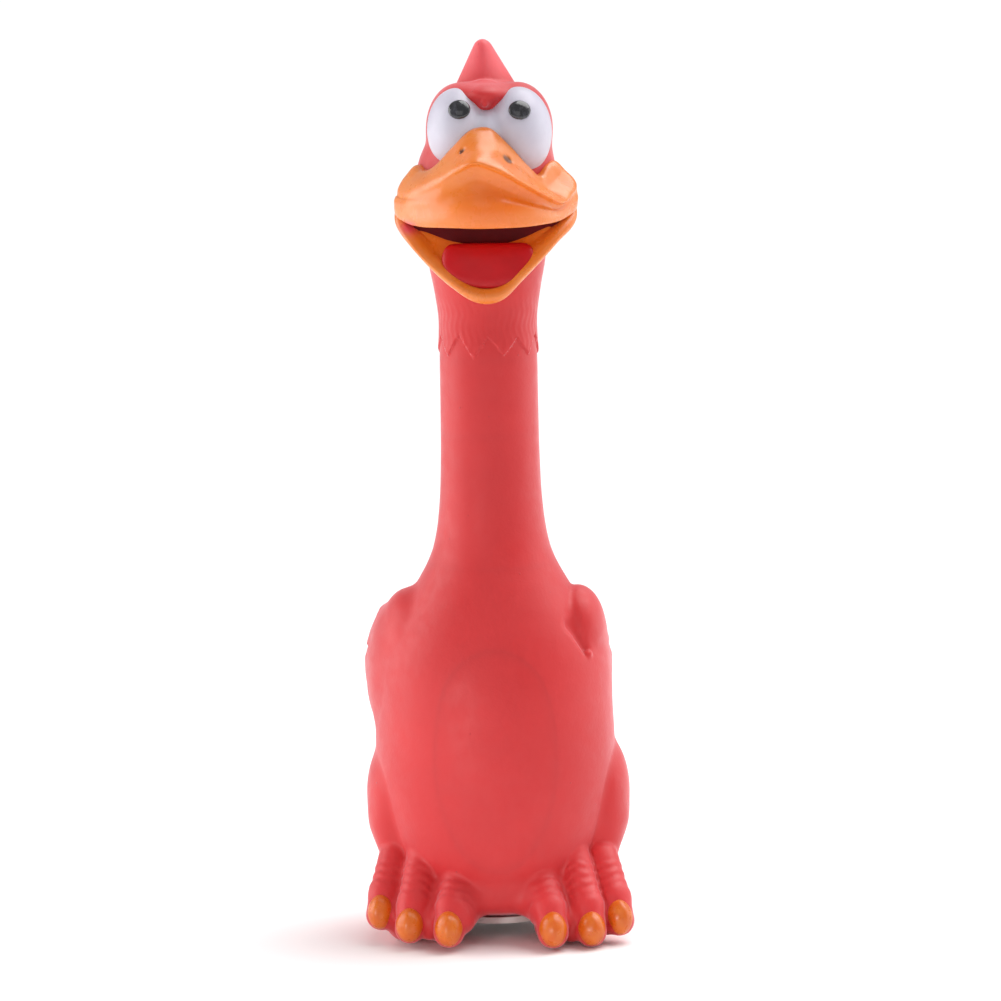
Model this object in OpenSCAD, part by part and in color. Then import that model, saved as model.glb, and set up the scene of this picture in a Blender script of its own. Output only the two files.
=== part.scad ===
// Squeaky rubber chicken: a hollow moulded skin with a pressed-in squeaker.
// Units are millimetres. The toy stands on z = 0 and faces -Y.
// Every moulded feature is placed by an angle from the front (-Y, towards +X) and a height.

/* [Skin] */
// Wall thickness of the moulded skin
wall = 2.2; // [1.6:0.1:3]
// Gap between pieces that are bonded to each other
bond_gap = 0.1; // [0.05:0.01:0.2]
// Gap between pieces that move past each other
move_gap = 0.4; // [0.3:0.1:0.8]

/* [Torso] */
// Radius of the belly
torso_r = 27.5; // [22:0.5:34]
// Height from the base plate to the foot of the neck
torso_h = 83; // [68:1:100]
// Height of the base plate above the floor
base_z = 5; // [4.5:0.5:8]
// Depth of the belly that bulges ahead of the press plane
press_depth = 8; // [6:0.5:10]
// Depth of the soft ring round the belly panel
flex_ring_depth = 3.2; // [2.5:0.1:4]

/* [Neck] */
// Radius of the neck
neck_r = 11.9; // [9:0.1:15]
// Height from the foot of the neck to the collar
neck_h = 56; // [45:1:68]
// Height of the first bending zone
lower_flex_h = 20; // [14:1:24]
// Height of the second bending zone
upper_flex_h = 14; // [10:1:17]

/* [Head] */
// Radius of the head
head_r = 15.6; // [12.5:0.1:19]
// Height from the collar to the crown
head_h = 63; // [55:0.5:78]
// How far the head looks to its own right
head_turn = 6; // [-20:1:20]
// Height of the comb above the crown
comb_h = 10.5; // [8:0.5:15]
// Width of the comb where it meets the head
comb_w = 13; // [9:0.5:16]
// Width of the comb at its tip
comb_tip_w = 3.4; // [2:0.2:5]
// Depth of the comb where it meets the head
comb_depth = 13; // [10:0.5:16]

/* [Eyes] */
// Angle of each eye from the front
eye_angle = 30; // [27:1:33]
// Half the angle that an eye spans
eye_half_angle = 27; // [20:0.5:28]
// Half the height of an eye
eye_half_h = 9; // [7:0.1:10]
// How far an eye bulges
eye_bulge = 2.6; // [1.5:0.1:4]
// Radius of a pupil
pupil_r = 2.7; // [2:0.1:3.5]
// How far a pupil stands proud
pupil_bulge = 0.7; // [0.4:0.1:1.2]

/* [Beak] */
// Reach of the upper beak's tip from the neck axis
beak_reach = 28; // [24:0.5:34]
// Half the width of the beak at the cheeks
cheek_r = 22.3; // [19:0.1:26]
// Half the angle that the beak spans
beak_half_angle = 88; // [80:1:92]
// Radius of a nostril
nostril_r = 0.7; // [0.5:0.1:1]
// Reach of the lower beak's rim
jaw_reach = 21.5; // [19:0.5:25]
// Depth of the lower beak below the mouth
jaw_depth = 19; // [15:0.5:22]
// Thickness of the tongue
tongue_t = 2.4; // [1.5:0.1:3.5]

/* [Wings, legs and tail] */
// How far a wing stands off the torso
wing_t = 5.2; // [3:0.1:7]
// How far a thigh stands off the torso
thigh_t = 5; // [3:0.1:7]
// Radius of a toe
toe_r = 3.3; // [2.6:0.1:3.8]
// Length of the tail tuft
tail_l = 7.5; // [6:0.5:13]

/* [Squeaker] */
// Radial gap round a pressed-in squeaker piece
press_gap = 0.05; // [0.03:0.01:0.08]
// Outer radius of the squeaker barrel
barrel_r = 11; // [9:0.5:12.5]
// Wall of the squeaker barrel
barrel_wall = 1.2; // [0.8:0.1:1.6]
// Height of the squeaker barrel
barrel_h = 26; // [20:1:32]
// Radius of the barrel's outer flange beyond the barrel
flange_lip = 2.5; // [1.5:0.5:3]
// Thickness of the flange
flange_t = 1.5; // [1:0.1:2]
// Height of the skin's collar round the barrel
socket_h = 9; // [6:1:12]
// Wall of the skin's collar round the barrel
socket_wall = 2.6; // [2:0.2:3.2]
// Radius of one sound hole
sound_hole_r = 1.1; // [0.8:0.1:1.4]
// Outer radius of the half-round reed channel
channel_r = 4; // [3:0.1:4.5]
// Length of the reed channel
channel_l = 15; // [11:1:18]
// Width of the reed
reed_w = 5; // [4:0.1:6]
// Thickness of the reed
reed_t = 0.3; // [0.2:0.05:0.5]
// Air gap between the reed and its channel
reed_gap = 0.45; // [0.3:0.05:0.6]

/* [Hidden] */

LEFT = -1;
RIGHT = 1;
SKIN = [0.86, 0.27, 0.28];
ORANGE = [0.92, 0.5, 0.2];
WHITE = [0.88, 0.86, 0.93];
BLACK = [0.05, 0.05, 0.06];
TONGUE_RED = [0.7, 0.09, 0.12];
MOUTH_DARK = [0.3, 0.04, 0.05];
PLASTIC = [0.92, 0.92, 0.9];

torso_top = base_z + torso_h;
collar_z = torso_top + neck_h;
crown_z = collar_z + head_h;
dome_z = collar_z + 0.67 * head_h;    // where the crown's dome starts
press_y = -(torso_r - press_depth);   // plane behind the soft ring
panel_y = press_y - flex_ring_depth;  // plane behind the belly panel
lower_flex_z = torso_top + 4;         // foot of the first bending zone
upper_flex_z = collar_z - 8 - upper_flex_h;
big = 400;

// ---------------------------------------------------------------- outline

// Outline of the skin as [height, radius], from the base plate to the dome.
outline = concat(
    [for (p = [[0, .45], [.035, .63], [.09, .76], [.16, .86], [.25, .93], [.36, .98],
               [.48, 1], [.6, .99], [.72, .945], [.82, .86], [.9, .765], [.97, .665]])
        [base_z + p[0] * torso_h, p[1] * torso_r]],
    [for (p = [[.07, 1.26], [.16, 1.14], [.3, 1.06], [.48, 1.01], [.75, 1], [.95, 1]])
        [torso_top + p[0] * neck_h, p[1] * neck_r]],
    [for (p = [[.06, .775], [.2, .83], [.35, .91], [.52, .985], [.67, 1]])
        [collar_z + p[0] * head_h, p[1] * head_r]]);

function slope(i) = let (last = len(outline) - 1, a = max(i - 1, 0), b = min(i + 1, last))
    i == last ? 0 : (outline[b][1] - outline[a][1]) / (outline[b][0] - outline[a][0]);

function span_of(z, i = 0) = i >= len(outline) - 2 || z < outline[i + 1][0] ? i : span_of(z, i + 1);

// Radius of the skin at height z: a cubic through the outline, then an ellipse for the dome.
function skin_r(z) = z >= dome_z
    ? head_r * sqrt(max(0, 1 - pow((z - dome_z) / (crown_z - dome_z), 2)))
    : let (i = span_of(z), p = outline[i], q = outline[i + 1], h = q[0] - p[0], t = (z - p[0]) / h)
        p[1] * (1 + 2 * t) * pow(1 - t, 2) + slope(i) * h * t * pow(1 - t, 2)
        + q[1] * t * t * (3 - 2 * t) + slope(i + 1) * h * t * t * (t - 1);

function steps(a, b, step) = let (n = max(1, ceil((b - a) / step))) [for (i = [0:n]) a + (b - a) * i / n];

// A band of the hollow skin between two heights below the dome.
module skin_band(z0, z1, step = 2.5) {
    zs = steps(z0, z1, step);
    rotate_extrude($fn = 96)
        polygon(concat([for (z = zs) [skin_r(z), z]],
                       [for (i = [len(zs) - 1:-1:0]) [skin_r(zs[i]) - wall, zs[i]]]));
}

// The torso and its base as one filled solid, grown by a gap.
module torso_solid(grow) {
    zs = steps(base_z, lower_flex_z, 3);
    rotate_extrude($fn = 96)
        polygon(concat([[0, base_z - grow]], [[skin_r(base_z) + grow, base_z - grow]],
                       [for (z = zs) [skin_r(z) + grow, z]], [[0, lower_flex_z]]));
}

// ---------------------------------------------------------------- moulded pads

function polar(r, angle, z) = [r * sin(angle), -r * cos(angle), z];

// A closed solid between two grids of points that face each other.
module grid_solid(inner, outer) {
    rows = len(inner);
    cols = len(inner[0]);
    flat = concat([for (row = inner) each row], [for (row = outer) each row]);
    o = rows * cols;
    function at(i, j) = i * cols + j;
    faces = concat(
        [for (i = [0:rows - 2], j = [0:cols - 2]) each [
            [at(i, j), at(i, j + 1), at(i + 1, j + 1)], [at(i, j), at(i + 1, j + 1), at(i + 1, j)],
            [o + at(i, j), o + at(i + 1, j + 1), o + at(i, j + 1)],
            [o + at(i, j), o + at(i + 1, j), o + at(i + 1, j + 1)]]],
        [for (j = [0:cols - 2], e = [[0, 1], [rows - 1, 0]]) let (a = at(e[0], j + e[1]),
            b = at(e[0], j + 1 - e[1])) each [[a, b, o + b], [a, o + b, o + a]]],
        [for (i = [0:rows - 2], e = [[0, 0], [cols - 1, 1]]) let (a = at(i + e[1], e[0]),
            b = at(i + 1 - e[1], e[0])) each [[a, b, o + b], [a, o + b, o + a]]]);
    polyhedron(points = flat, faces = faces, convexity = 6);
}

// A pad over an oval patch. place(u, v) gives [angle, height] for a point of the unit disc.
module oval_pad(place, inner_r, outer_r, n = 12) {
    function disc(s, t) = [s * sqrt(1 - t * t / 2), t * sqrt(1 - s * s / 2)];
    cells = [for (i = [0:n]) [for (j = [0:n]) disc(2 * i / n - 1, 2 * j / n - 1)]];
    spots = [for (row = cells) [for (c = row) concat(place(c[0], c[1]), [min(1, norm(c))])]];
    grid_solid([for (row = spots) [for (p = row) polar(inner_r(p[0], p[1]), p[0], p[1])]],
               [for (row = spots) [for (p = row) polar(outer_r(p[0], p[1], p[2]), p[0], p[1])]]);
}

// A pad over a strip. place(s, t) gives [angle, height] for s and t from 0 to 1.
module strip_pad(place, inner_r, outer_r, ns = 28, nt = 8) {
    spots = [for (i = [0:ns]) [for (j = [0:nt]) concat(place(i / ns, j / nt), [i / ns, j / nt])]];
    grid_solid([for (row = spots) [for (p = row) polar(inner_r(p[0], p[1]), p[0], p[1])]],
               [for (row = spots) [for (p = row) polar(outer_r(p[0], p[1], p[2], p[3]), p[0], p[1])]]);
}

function on_skin(angle, z) = skin_r(z) + bond_gap;
pad_edge = 0.5;                                   // thickness of a pad at its edge
function dome(rho) = sqrt(max(0, 1 - rho * rho));  // height of a bulge, 1 at its centre

// ---------------------------------------------------------------- torso

socket_r = barrel_r + socket_wall;

module torso_skin() color(SKIN) difference() {
    union() {
        skin_band(base_z, lower_flex_z);
        // Base plate.
        translate([0, 0, base_z]) cylinder(r = skin_r(base_z + wall) - wall, h = wall, $fn = 96);
        // Collar that grips the squeaker.
        translate([0, 0, base_z]) cylinder(r = socket_r, h = socket_h, $fn = 96);
    }
    translate([0, 0, base_z - 1]) cylinder(r = barrel_r + press_gap, h = socket_h + 2, $fn = 96);
    translate([-big / 2, press_y - big, 0]) cube([big, big, big]);
}

// A slice of the torso's front wall between two planes.
module front_slice(y0, y1) intersection() {
    skin_band(base_z, lower_flex_z);
    translate([-big / 2, y0, 0]) cube([big, y1 - y0, big]);
}

module belly_flex_ring() color(SKIN) front_slice(panel_y, press_y);

module belly_panel() color(SKIN) front_slice(-big, panel_y);

wing_z = base_z + 0.735 * torso_h;
wing_half_h = 0.225 * torso_h;

module wing(side) color(SKIN) oval_pad(
    function(u, v) [side * (90 + 36 * u * (1 + 0.15 * v) - 9 * v), wing_z + wing_half_h * v],
    function(a, z) on_skin(a, z),
    function(a, z, rho) on_skin(a, z) + pad_edge + (wing_t - pad_edge) * dome(rho));

thigh_z = base_z + 0.35 * torso_h;
thigh_half_h = 0.15 * torso_h;

module thigh(side) color(SKIN) oval_pad(
    function(u, v) [side * (98 + 36 * u), thigh_z + thigh_half_h * v],
    function(a, z) on_skin(a, z),
    function(a, z, rho) on_skin(a, z) + pad_edge + (thigh_t - pad_edge) * dome(rho));

tail_z = base_z + 0.36 * torso_h;
tail_reach = on_skin(180, tail_z) + pad_edge + tail_l;

module tail_tuft() color(SKIN) oval_pad(
    function(u, v) [180 + 22 * u * (1 - 0.3 * v), tail_z + 0.11 * torso_h * v],
    function(a, z) on_skin(a, z),
    function(a, z, rho) on_skin(a, z) + pad_edge + tail_l * pow(dome(rho), 2), n = 10);

// ---------------------------------------------------------------- feet

// The longest toe reaches as far forward as the tail reaches back.
toe_y = -(tail_reach - toe_r);
// One toe as [root, knuckle, tip], for the inner, middle and outer toe of the right foot.
foot_x = 0.75 * torso_r;
toes = [
    [[foot_x - 7, toe_y + 19, 7.5], [foot_x - 8, toe_y + 8, 7], [foot_x - 8.3, toe_y, toe_r]],
    [[foot_x - 1, toe_y + 21, 9], [foot_x + .6, toe_y + 11, 7.5], [foot_x + 1.6, toe_y + 3, toe_r]],
    [[foot_x + 5, toe_y + 27, 9], [foot_x + 7, toe_y + 18, 7.5], [foot_x + 8.2, toe_y + 10.5, toe_r + .6]]];
claw_l = 5;  // length of the painted claw along the toe

// A rounded rod between two points.
module rod(a, b, ra, rb) hull() {
    translate(a) sphere(r = ra, $fn = 18);
    translate(b) sphere(r = rb, $fn = 18);
}

// Stands its children on the point a distance back from a toe's tip, with +Z towards the tip.
module on_toe(toe, back) {
    v = toe[2] - toe[1];
    translate(toe[2] - back * v / norm(v)) rotate([0, acos(v[2] / norm(v)), atan2(v[1], v[0])]) children();
}

module above_floor() intersection() {
    children();
    translate([-big / 2, -big / 2, 0]) cube([big, big, big]);
}

module foot(side) color(SKIN) mirror([side == LEFT ? 1 : 0, 0, 0]) difference() {
    above_floor() union() {
        for (toe = toes) {
            rod(toe[0], toe[1], toe_r + .4, toe_r);
            rod(toe[1], toe[2], toe_r, toe_r);
        }
        // Web between the toes, sole and heel.
        hull() for (p = [toes[0][1], toes[1][1], toes[2][1], toes[0][0], [foot_x + 3, 12, 0]])
            translate([p[0], p[1], 0]) cylinder(r = 2.5, h = 4, $fn = 18);
        // Shank that rises behind the toes to the thigh.
        rod([foot_x + 3, -1, 17], [foot_x + 3, 4, 5], 4, 4.6);
    }
    torso_solid(bond_gap);
    for (toe = toes) on_toe(toe, claw_l + bond_gap) cylinder(r = toe_r + 1, h = 20, $fn = 18);
    // The thigh's own space above the foot.
    translate([-big / 2, -big / 2, thigh_z - thigh_half_h - bond_gap]) cube([big, big, big]);
}

// The painted ends of the toes.
module claws(side) color(ORANGE) mirror([side == LEFT ? 1 : 0, 0, 0])
    above_floor() for (toe = toes) intersection() {
        rod(toe[1], toe[2], toe_r, toe_r);
        on_toe(toe, claw_l) cylinder(r = toe_r + 1, h = 20, $fn = 18);
    }

// ---------------------------------------------------------------- neck

module lower_neck_flex() color(SKIN) skin_band(lower_flex_z, lower_flex_z + lower_flex_h);

module lower_neck_skin() color(SKIN) skin_band(lower_flex_z + lower_flex_h, upper_flex_z);

module upper_neck_flex() color(SKIN) skin_band(upper_flex_z, upper_flex_z + upper_flex_h);

module upper_neck_skin() color(SKIN) skin_band(upper_flex_z + upper_flex_h, collar_z - move_gap / 2);

// ---------------------------------------------------------------- head

// Everything on the head looks the same way.
module turned() rotate([0, 0, -head_turn]) children();

function dome_profile(shrink) = [for (t = steps(0, 90, 9))
    [(head_r - shrink) * cos(t), dome_z + (crown_z - dome_z - shrink) * sin(t)]];

module head_skin() color(SKIN) {
    zs = steps(collar_z + move_gap / 2, dome_z, 2.5);
    inside = dome_profile(wall);
    rotate_extrude($fn = 96)
        polygon(concat([for (i = [0:len(zs) - 2]) [skin_r(zs[i]), zs[i]]], dome_profile(0),
                       [for (i = [len(inside) - 1:-1:0]) inside[i]],
                       [for (i = [len(zs) - 2:-1:0]) [skin_r(zs[i]) - wall, zs[i]]]));
}

// The crown as a filled solid, grown by a gap.
module crown_solid(grow) rotate_extrude($fn = 96)
    polygon(concat([[0, dome_z]], dome_profile(-grow)));

eye_z = crown_z - 11;

module comb() color(SKIN) turned() difference() {
    hull() {
        for (y = [-comb_depth / 2, comb_depth / 2])
            translate([0, y * .55, crown_z - 4]) scale([comb_w / comb_depth * 1.3, 1, 1])
                sphere(r = comb_depth * .36, $fn = 24);
        translate([0, 0, crown_z + comb_h - comb_tip_w / 2]) sphere(r = comb_tip_w / 2, $fn = 16);
        translate([0, 3, crown_z + comb_h - comb_tip_w]) sphere(r = comb_tip_w / 2, $fn = 16);
    }
    crown_solid(bond_gap);
    // Room for the tops of the eyes.
    translate([-big / 2, -big / 2, eye_z + eye_half_h + 2 * bond_gap - big]) cube([big, big, big]);
}

function eye_outer(a, z, side) = let (u = (a - side * eye_angle) / eye_half_angle,
    v = (z - eye_z) / eye_half_h, rho = sqrt(u * u + v * v))
    on_skin(a, z) + pad_edge + eye_bulge * dome(rho);

module eye(side) color(WHITE) turned() oval_pad(
    function(u, v) [side * eye_angle + eye_half_angle * u, eye_z + eye_half_h * v],
    function(a, z) on_skin(a, z),
    function(a, z, rho) on_skin(a, z) + pad_edge + eye_bulge * dome(rho));

pupil_angle = 24;
pupil_z = eye_z + 4;

module pupil(side) color(BLACK) turned() oval_pad(
    function(u, v) [side * pupil_angle + pupil_r / 0.27 * u, pupil_z + pupil_r * v],
    function(a, z) eye_outer(a, z, side) + bond_gap,
    function(a, z, rho) eye_outer(a, z, side) + bond_gap + pad_edge * .4 + pupil_bulge * dome(rho),
    n = 8);

// ---------------------------------------------------------------- beak

mouth_z = crown_z - 33.5;                    // underside of the upper beak
lip_z = mouth_z - 4.5;                      // back edge of the lower beak
corner_angle = 62;                          // where the mouth's dark opening ends

function smooth(t) = let (c = min(1, max(0, t))) c * c * (3 - 2 * c);

// Upper edge of the beak: it runs under the eyes and rises between them.
function beak_top(a) = let (u = (abs(a) - eye_angle) / eye_half_angle)
    min(abs(a) > eye_angle ? eye_z - eye_half_h : eye_z, abs(u) < 1 ? eye_z - eye_half_h * sqrt(1 - u * u)
        : eye_z) - bond_gap * 4 - 3 * smooth((abs(a) - 60) / 25);

// Reach of the upper beak by angle: a pointed bow that rolls round to the cheeks.
function bow(a) = cheek_r + (beak_reach - cheek_r) * pow(max(0, cos(min(90, abs(a) * 1.25))), 1.4);

// How full the beak is at an angle: 1 in front, falling to 0 at its ends.
function fullness(a) = 1 - pow(min(1, abs(a) / beak_half_angle), 8);

// Two nostrils, bored into the slope above the beak's crest.
module upper_beak() color(ORANGE) turned() difference() {
    strip_pad(
        function(s, t) let (a = beak_half_angle * (2 * s - 1)) [a, mouth_z + (beak_top(a) - mouth_z) * t],
        function(a, z) on_skin(a, z),
        function(a, z, s, t) on_skin(a, z) + 1
            + max(0, bow(a) - 1 - on_skin(a, z)) * fullness(a) * (1 - smooth((t - .42) / .62)),
        ns = 30, nt = 9);
    for (side = [LEFT, RIGHT]) rotate([0, 0, 14 * side]) translate([0, -on_skin(0, eye_z) - 2, mouth_z + 16])
        rotate([55, 0, 0]) cylinder(r = nostril_r, h = 20, $fn = 16);
}

jaw_half_angle = 80;
function jaw_low(a) = lip_z - (jaw_depth - 4.5) * (1 - pow(min(1, abs(a) / jaw_half_angle), 2.2));
function jaw_top(a) = lip_z + 3.9 * smooth((abs(a) - corner_angle + 8) / 14);

module lower_beak() color(ORANGE) turned() strip_pad(
    function(s, t) let (a = jaw_half_angle * (2 * s - 1), low = jaw_low(a) - 1)
        [a, low + (jaw_top(a) - low) * t],
    function(a, z) on_skin(a, z),
    function(a, z, s, t) on_skin(a, z) + 1.2 + max(0, jaw_reach - 1.2 - on_skin(a, z))
        * fullness(a) * max(1 - smooth((t - .22) / .2), smooth((abs(a) - corner_angle + 20) / 14)),
    ns = 28, nt = 8);

module mouth_lining() color(MOUTH_DARK) turned() strip_pad(
    function(s, t) let (a = (corner_angle - 10) * (2 * s - 1)) [a, lip_z + .2 + (mouth_z - lip_z - .4) * t],
    function(a, z) on_skin(a, z),
    function(a, z, s, t) on_skin(a, z) + 1, ns = 14, nt = 2);

module tongue() color(TONGUE_RED) turned() oval_pad(
    function(u, v) [32 * u, lip_z - 4.4 + 3.9 * v],
    function(a, z) on_skin(a, z) + 1.2 + 2 * bond_gap,
    function(a, z, rho) on_skin(a, z) + 1.6 + tongue_t * dome(rho), n = 8);

// ---------------------------------------------------------------- squeaker

barrel_low = base_z - flange_t;
plate_t = 2;
plate_z = barrel_low + barrel_h - plate_t;   // the reed plate closes the barrel's top
cap_t = 1.5;
bead = 0.6;                                  // retaining bead above the skin's collar

module squeaker_barrel() color(PLASTIC) difference() {
    union() {
        translate([0, 0, barrel_low]) cylinder(r = barrel_r, h = barrel_h, $fn = 96);
        translate([0, 0, barrel_low]) cylinder(r = barrel_r + flange_lip, h = flange_t, $fn = 96);
        translate([0, 0, base_z + socket_h]) cylinder(r = barrel_r + bead, h = 1, $fn = 96);
    }
    translate([0, 0, barrel_low - 1]) cylinder(r = barrel_r - barrel_wall, h = barrel_h + 2, $fn = 96);
}

module squeaker_cap() color(PLASTIC) difference() {
    translate([0, 0, barrel_low + .5])
        cylinder(r = barrel_r - barrel_wall - press_gap, h = cap_t, $fn = 96);
    translate([0, 0, barrel_low]) cylinder(r = sound_hole_r, h = cap_t + 1, $fn = 32);
    for (i = [0:5]) rotate([0, 0, 60 * i]) translate([0.5 * barrel_r, 0, barrel_low])
        cylinder(r = sound_hole_r, h = cap_t + 1, $fn = 32);
}

channel_z = plate_z + plate_t;
channel_wall = 1;

// Round plate with a half-round channel on it, closed at its far end.
module reed_block() color(PLASTIC) {
    difference() {
        union() {
            translate([0, 0, plate_z])
                cylinder(r = barrel_r - barrel_wall - press_gap, h = plate_t, $fn = 96);
            intersection() {
                translate([0, 0, channel_z]) cylinder(r = channel_r, h = channel_l, $fn = 48);
                translate([-channel_r, 0, channel_z]) cube([2 * channel_r, channel_r, channel_l]);
            }
        }
        intersection() {
            translate([0, 0, plate_z - 1])
                cylinder(r = channel_r - channel_wall, h = channel_l + plate_t, $fn = 48);
            translate([-channel_r, -1, plate_z - 1])
                cube([2 * channel_r, 2 * channel_r, channel_l + plate_t]);
        }
    }
}

reed_root_z = channel_z + 1.5;
clip_h = 3;

// Clip that holds the root of the reed against the channel.
module reed_clip() color("gold") difference() {
    translate([-channel_r - 1.2, -reed_gap - reed_t - 1.3, channel_z])
        cube([2 * channel_r + 2.4, reed_gap + reed_t + 1.3 - .05, clip_h]);
    translate([-reed_w / 2 - .3, -reed_gap - reed_t - .3, channel_z - 1])
        cube([reed_w + .6, reed_gap + reed_t + 1, clip_h + 2]);
}

module reed() color("gold")
    translate([-reed_w / 2, -reed_gap - reed_t, channel_z + .4])
        cube([reed_w, reed_t, channel_l - .8]);

// ---------------------------------------------------------------- assembly

torso_skin();
belly_flex_ring();
belly_panel();
wing(LEFT);  // left_wing
wing(RIGHT);  // right_wing
thigh(LEFT);  // left_thigh
thigh(RIGHT);  // right_thigh
foot(LEFT);  // left_foot
foot(RIGHT);  // right_foot
claws(LEFT);  // left_claws
claws(RIGHT);  // right_claws
tail_tuft();
lower_neck_flex();
lower_neck_skin();
upper_neck_flex();
upper_neck_skin();
head_skin();
comb();
eye(LEFT);  // left_eye
eye(RIGHT);  // right_eye
pupil(LEFT);  // left_pupil
pupil(RIGHT);  // right_pupil
upper_beak();
lower_beak();
mouth_lining();
tongue();
squeaker_barrel();
squeaker_cap();
reed_block();
reed_clip();
reed();
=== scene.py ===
"""Squeaky rubber chicken: one moulded skin in flexing lengths, a painted face, claws and a squeaker."""
import math

import bmesh
import bpy
import numpy as np
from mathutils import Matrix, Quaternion, Vector


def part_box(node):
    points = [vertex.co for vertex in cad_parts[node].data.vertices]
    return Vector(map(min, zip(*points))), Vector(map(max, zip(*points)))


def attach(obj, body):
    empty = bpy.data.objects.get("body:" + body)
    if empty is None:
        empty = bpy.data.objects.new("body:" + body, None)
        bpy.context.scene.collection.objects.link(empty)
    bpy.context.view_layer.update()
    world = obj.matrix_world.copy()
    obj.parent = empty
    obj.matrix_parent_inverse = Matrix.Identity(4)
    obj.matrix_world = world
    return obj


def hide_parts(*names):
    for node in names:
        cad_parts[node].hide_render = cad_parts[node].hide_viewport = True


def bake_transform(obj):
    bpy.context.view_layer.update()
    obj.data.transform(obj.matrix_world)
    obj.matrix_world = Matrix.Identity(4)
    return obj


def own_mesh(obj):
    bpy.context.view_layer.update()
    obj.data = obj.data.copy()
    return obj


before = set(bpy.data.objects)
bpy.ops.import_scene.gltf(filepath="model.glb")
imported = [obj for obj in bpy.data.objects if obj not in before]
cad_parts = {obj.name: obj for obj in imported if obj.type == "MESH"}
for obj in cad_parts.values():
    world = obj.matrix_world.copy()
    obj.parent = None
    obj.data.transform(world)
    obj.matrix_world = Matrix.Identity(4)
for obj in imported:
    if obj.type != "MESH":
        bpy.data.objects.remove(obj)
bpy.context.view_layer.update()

bl_info = {
    "name": "Rubber Chicken",
    "version": (1, 0, 0),
    "blender": (4, 5, 0),
    "location": "3D View > Sidebar > Rubber Chicken",
    "description": "Moulds and paints a squeaky rubber chicken over its working frame",
    "category": "Add Mesh",
}

MM = 0.001                       # every shape below is worked out in millimetres


# ------------------------------------------------------------------ small tools

def smooth_step(t):
    t = np.clip(t, 0.0, 1.0)
    return t * t * (3 - 2 * t)


def melt(a, b, soft):
    """Joins two fields with a fillet of about the given size."""
    h = np.clip(0.5 + 0.5 * (b - a) / soft, 0, 1)
    return b + (a - b) * h - soft * h * (1 - h)


def carve(a, b, soft):
    """Keeps what is inside both fields, with an edge rounded by the given size."""
    return -melt(-a, -b, soft)


def egg(p, centre, radii, lean=0.0, yaw=0.0):
    """Field of an ellipsoid. Lean tips its top backwards, yaw turns it about the vertical, in degrees."""
    q = p - np.array(centre, float)
    if yaw:
        c, s = math.cos(math.radians(yaw)), math.sin(math.radians(yaw))
        q = np.stack([c * q[:, 0] + s * q[:, 1], c * q[:, 1] - s * q[:, 0], q[:, 2]], 1)
    if lean:
        c, s = math.cos(math.radians(lean)), math.sin(math.radians(lean))
        q = np.stack([q[:, 0], c * q[:, 1] - s * q[:, 2], s * q[:, 1] + c * q[:, 2]], 1)
    r = np.array(radii, float)
    near = np.linalg.norm(q / r, axis=1)
    steep = np.linalg.norm(q / (r * r), axis=1) + 1e-9
    return near * (near - 1) / steep


def rod(p, a, b, ra, rb):
    """Field of a rounded rod. Also gives how far along the rod each point lies, in millimetres."""
    a, b = np.array(a, float), np.array(b, float)
    axis = b - a
    length = np.linalg.norm(axis)
    t = np.clip((p - a) @ axis / length ** 2, 0, 1)
    gap = np.linalg.norm(p - a - t[:, None] * axis, axis=1)
    return gap - (ra + (rb - ra) * t), t * length


def curve_through(points, fine):
    """A smooth curve of second values over first values through the points, read at every fine value."""
    x = np.array([p[0] for p in points], float)
    y = np.array([p[1] for p in points], float)
    step = np.diff(x)
    rise = np.diff(y) / step
    slope = np.concatenate([[rise[0]], (rise[1:] + rise[:-1]) / 2, [rise[-1]]])
    i = np.clip(np.searchsorted(x, fine, side="right") - 1, 0, len(x) - 2)
    t = np.clip((fine - x[i]) / step[i], 0, 1)
    h = step[i]
    return (y[i] * (1 + 2 * t) * (1 - t) ** 2 + slope[i] * h * t * (1 - t) ** 2
            + y[i + 1] * t * t * (3 - 2 * t) + slope[i + 1] * h * t * t * (t - 1))


# ------------------------------------------------------------------ the skin's shape

# The squeaker's room comes from the working frame.
FLANGE_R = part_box("squeaker_barrel")[1].x / MM
BARREL_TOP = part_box("squeaker_barrel")[1].z / MM
BARREL_R = 11.0
FLANGE_TOP = 5.0                 # height of the room over the flange
PRESS_GAP = 0.15                 # between the skin and the barrel's side

# Each wing and foot is keyed by its side: -1 for -X, 1 for +X. Pairs on the head list the -X one first.

# Height and radius of the turned outline, from the base up to the temples.
OUTLINE = [(3, 11.2), (5, 13), (8, 17.3), (12.5, 20.9), (18.3, 23.7), (25.8, 25.6), (34.9, 26.9),
           (44.8, 27.4), (54.8, 27.1), (64.8, 25.8), (73, 23.4), (79.7, 20.6), (85.5, 17.9), (91.9, 15.0),
           (97, 13.6), (104.8, 12.55), (114.9, 12.05), (130, 11.85), (141, 11.8), (150, 11.5),
           (157, 12.5), (164, 14.0), (172, 14.9), (181, 15.2), (187, 14.8), (192, 13.6)]
# Height and how much wider than round the torso is there, as a share.
BREADTH = [(18, 0), (30, 0.045), (44, 0.065), (55, 0.065), (62, 0.09), (70, 0.12), (78, 0.09), (86, 0.03),
           (94, 0)]
HEIGHTS = np.arange(-20.0, 230.0, 0.25)
RADII = curve_through(OUTLINE, HEIGHTS)
WIDER = 1 + curve_through(BREADTH, HEIGHTS)
SLANT = 1 / np.sqrt(1 + np.gradient(RADII, HEIGHTS) ** 2)


def around(p):
    """Angle of each point about the upright axis, in degrees from the front towards +X."""
    return np.degrees(np.arctan2(p[:, 0], -p[:, 1]))


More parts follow.
